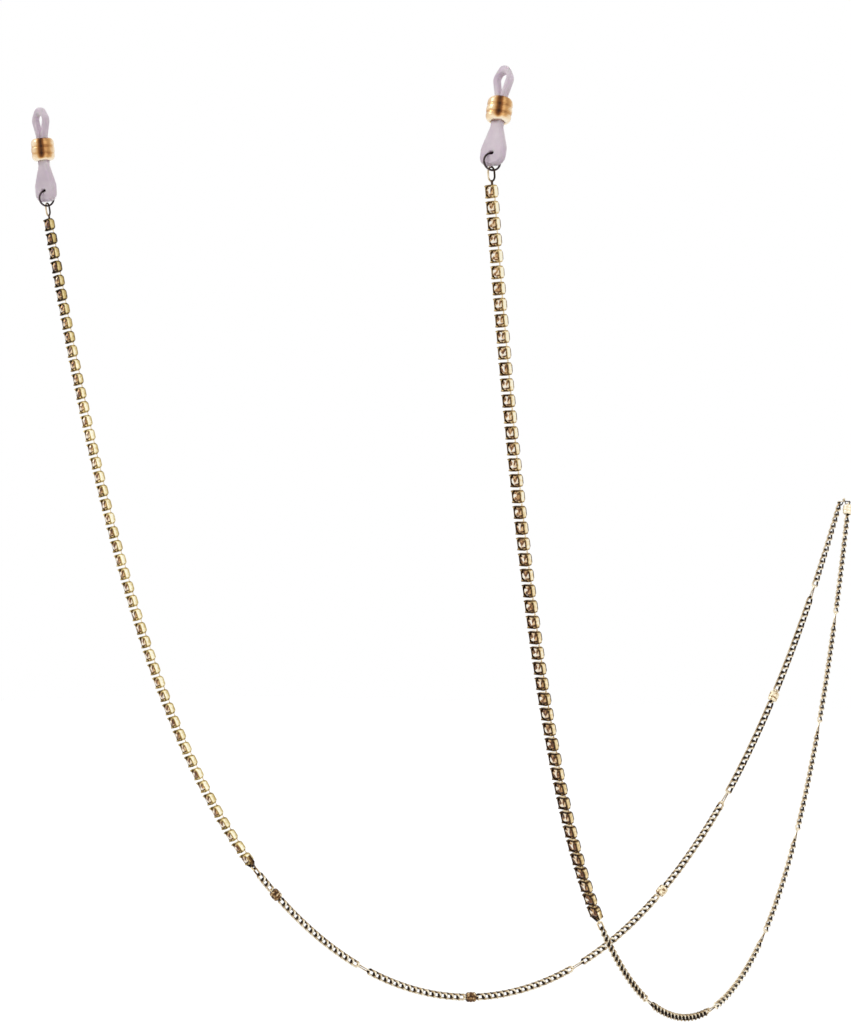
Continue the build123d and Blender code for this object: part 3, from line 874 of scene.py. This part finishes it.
def makeEndLink(name):
    # a flat oval line carried round with a round section, and a tab that goes into the first cup: an oval
    # section moved straight along X
    look = endLook
    _, _, top, turn = fittingFrames(name)
    high, low = fittingLook["endReach"] + look["play"], look["low"]
    wire, around, tabRows = look["wire"], look["around"], look["tabRows"]
    x, y, angle = stadium((high - low + wire) / 2, (look["width"] - wire) / 2, look["stations"])
    zero = 0 * x
    line = np.stack([x - (high + low) / 2, y, zero], -1)
    outwards = np.stack([np.cos(angle), np.sin(angle), zero], -1)
    flat = np.broadcast_to([0.0, 0.0, 1.0], outwards.shape)
    section = roundSection(wire / 2, around)
    loop = tube(line, outwards, flat, section).reshape(-1, 3)
    tabX = np.linspace(*look["tab"], tabRows)
    tabSection = roundSection(0.5, around) * np.array([look["tabWidth"], look["tabThick"]])
    tab = np.concatenate([
        np.broadcast_to(tabX[:, None, None], (tabRows, around, 1)),
        np.broadcast_to(tabSection[None], (tabRows, around, 2))], -1).reshape(-1, 3)
    loopFaces = facesOut(loop, gridFaces(look["stations"], around, True))
    lit = -look["sideHighlight"] * np.sin(angle)[:, None]  # painted highlight down one side
    loopBare = look["wearAndLight"] + lit + look["outerBare"] * section[:, 0] / wire
    wearAndLight = np.append(loopBare, np.full(len(tab), look["tabBare"]))
    verts = np.concatenate([loop, tab]) @ turn.T + top
    attributes = {"wearAndLight": wearAndLight, "tone": np.full(len(verts), 0.5)}
    faceSets = [loopFaces] + [faces + len(loop) for faces in closedFaces(tab, tabRows, around)]
    piece = addMesh(f"{name}EndLink", verts, faceSets, metals["chain"], True, attributes)
    return seat(piece, f"{name}_cup_chain", "antique_brass", f"{name}_end_link")


crimpLook = {
    "half": 0.6, "plate": 0.22, "edge": 0.06, "soften": 0.15,
    "strapOuter": [-2.4, -1.2, -0.3], "foldOuter": [(0.25, 1.0), (0.75, 0.3), (1.0, 0)],
    "strapInner": [-2.4, -1.2, -0.36], "foldInner": [(0.1, 0.86), (0.52, 0.12), (0.6, 0)],
    "wearAndLight": [0.3, 1.0, 0.5, 0.3, 0.1, 0.1, 0.2, 0.2],  # round the strip's section, from its outer side
    "foldShade": 0.8, "foldWidth": 0.5, "level": {"left": 0.0, "right": -0.4},  # painted shade: the right one is darker
    "loopRadius": 0.7, "loopPlay": 0.2, "loopWire": 0.42, "loopRoll": 45, "stations": 28, "around": 8,
    "loopBare": 0.5, "outerBare": 0.8,
}


def crimpOutline(strap, height, fold):
    # along one side of the cup at its height, round the V and back along the other side
    half = np.array([(x, height) for x in strap] + fold)
    return np.concatenate([half, half[-2::-1] * [1, -1]])


def crimpStrip():
    # a folded strip with eight lines round its section, each a blend of the outer and the inner outline at
    # its own level
    look = crimpLook
    half, wall = look["half"], cupLook["wall"]
    outer = crimpOutline(look["strapOuter"], wall + look["plate"], look["foldOuter"])
    inner = crimpOutline(look["strapInner"], wall, look["foldInner"])
    edge, soft = half - look["edge"], look["soften"]
    share = np.array([0, 0, soft, 1 - soft, 1, 1, 1 - soft, soft])[None, :, None]
    level = np.array([-edge, edge, half, half, edge, -edge, -half, -half])
    flat = (1 - share) * outer[:, None] + share * inner[:, None]
    return np.concatenate([flat, np.broadcast_to(level[None, :, None], (*flat.shape[:2], 1))], -1)


def crimpLoop(name, section):
    # a round wire carried round a circle through the chain's line, turned about it by roll
    look = crimpLook
    roll = np.radians(look["loopRoll"] - sides[name]["cupTurn"])
    angle = 2 * np.pi * np.arange(look["stations"]) / look["stations"]
    side = np.array([0, np.cos(roll), np.sin(roll)])
    outwards = np.cos(angle)[:, None] * np.array([1.0, 0, 0]) + np.sin(angle)[:, None] * side
    flat = np.broadcast_to([0, -np.sin(roll), np.cos(roll)], outwards.shape)
    middle = np.array([route["crimpReach"] + look["loopPlay"] - look["loopRadius"], 0, 0])
    return tube(middle + look["loopRadius"] * outwards, outwards, flat, section).reshape(-1, 3)


def makeCrimp(name):
    # the strip grips both sides of the last cup and is folded to a V below it, where the small loop sits
    look = crimpLook
    wire, strip = look["loopWire"], crimpStrip()
    rows, lines = strip.shape[:2]
    strip = strip.reshape(-1, 3)
    section = roundSection(wire / 2, look["around"])
    loop = crimpLoop(name, section)
    middles, turns = framesAt(name, cupsEnd, 0.02, True)
    verts = np.concatenate([strip, loop]) @ turns[0].T + middles[0]
    fold = look["foldShade"] * hump(np.linspace(-1, 1, rows), look["foldWidth"])[:, None]
    # painted shade: darker at the fold and over the whole right crimp
    brightness = look["level"][name] - fold + look["wearAndLight"]
    loopBare = look["loopBare"] + look["outerBare"] * section[:, 0] / wire
    wearAndLight = np.append(brightness, np.tile(loopBare, look["stations"]))
    attributes = {"wearAndLight": wearAndLight, "tone": np.full(len(verts), 0.5)}
    loopFaces = facesOut(loop, gridFaces(look["stations"], look["around"], True)) + len(strip)
    faceSets = closedFaces(strip, rows, lines) + [loopFaces]
    piece = addMesh(f"{name}Crimp", verts, faceSets, metals["cup"], True, attributes)
    return seat(piece, f"{name}_cup_chain", "antique_brass", f"{name}_crimp")


for sideName in sides:
    makeTempleLoop(sideName)
    makeSlideBead(sideName)
    makeGripRing(sideName)
    makeEndLink(sideName)
    makeCrimp(sideName)
print("fittings made")


stageLook = {
    "floorHeight": -0.165, "floorSize": 6.0, "floorTone": 0.6, "floorGlow": 0.55, "world": 0.75,
    "key": {"place": (-0.9, -0.9, 0.9), "size": 0.6, "power": 3.0},
    "fill": {"place": (1.0, -0.5, 0.3), "size": 0.8, "power": 1.2},
    "aim": (-0.07, -0.08, -0.03),
}


def paleWhere(tree, level):
    # a strength that only rays from the camera, glossy and transmitted rays meet, so that the white around
    # shows but throws no light on matt surfaces
    nodes, links = tree.nodes, tree.links
    path = nodes.new("ShaderNodeLightPath")
    seen = mathNode(nodes, links, "MAXIMUM", path.outputs["Is Camera Ray"], path.outputs["Is Glossy Ray"])
    seen = mathNode(nodes, links, "MAXIMUM", seen, path.outputs["Is Transmission Ray"])
    return mathNode(nodes, links, "MULTIPLY", seen, level)


def makeFloor():
    size = stageLook["floorSize"]
    corners = np.array([(-1, -1), (1, -1), (1, 1), (-1, 1)]) * size / 2
    verts = np.concatenate([corners, np.full((4, 1), stageLook["floorHeight"])], -1)
    material, _, links, shader = newMaterial("paleFloor")
    shader.inputs["Base Color"].default_value = (*[stageLook["floorTone"]] * 3, 1)
    shader.inputs["Roughness"].default_value = 0.9
    shader.inputs["Emission Color"].default_value = (1, 1, 1, 1)
    links.new(paleWhere(material.node_tree, stageLook["floorGlow"]), shader.inputs["Emission Strength"])
    mesh = bpy.data.meshes.new("floor")
    mesh.from_pydata(verts.tolist(), [], [(0, 1, 2, 3)])
    mesh.materials.append(material)
    floor = bpy.data.objects.new("floor", mesh)
    bpy.context.collection.objects.link(floor)


def makeWorld():
    world = bpy.data.worlds.new("softRoom")
    world.use_nodes = True
    nodes, links = world.node_tree.nodes, world.node_tree.links
    sky = nodes["Background"]
    sky.inputs["Color"].default_value = (1, 1, 1, 1)
    shown = paleWhere(world.node_tree, 1 - stageLook["world"])
    links.new(mathNode(nodes, links, "ADD", shown, stageLook["world"]), sky.inputs["Strength"])
    bpy.context.scene.world = world


def addLamp(name, look):
    lamp = bpy.data.lights.new(name, "AREA")
    lamp.size = look["size"]
    lamp.energy = look["power"]
    holder = bpy.data.objects.new(name, lamp)
    holder.location = look["place"]
    way = Vector(stageLook["aim"]) - Vector(look["place"])
    holder.rotation_euler = way.to_track_quat("-Z", "Y").to_euler()
    bpy.context.collection.objects.link(holder)


cameraLook = {
    "azimuth": 37.829, "elevation": -2.092, "lens": 102.51,
    "target": (-92.07, -71.49, -3.36), "distance": 812.12,
}


def makeCamera():
    # azimuth turns from -Y towards +X, and the lens is for the frame's long side
    look = cameraLook
    a, e = np.radians(look["azimuth"]), np.radians(look["elevation"])
    back = Vector((np.sin(a) * np.cos(e), -np.cos(a) * np.cos(e), np.sin(e)))
    data = bpy.data.cameras.new("camera")
    data.lens = look["lens"]
    data.clip_start, data.clip_end = 0.01, 50
    camera = bpy.data.objects.new("camera", data)
    camera.location = (Vector(look["target"]) + back * look["distance"]) * mm
    camera.rotation_euler = (-back).to_track_quat("-Z", "Y").to_euler()
    bpy.context.collection.objects.link(camera)
    bpy.context.scene.camera = camera


makeFloor()
makeWorld()
addLamp("keyLamp", stageLook["key"])
addLamp("fillLamp", stageLook["fill"])
makeCamera()
bpy.context.scene.view_settings.view_transform = "Standard"
print("stage made")
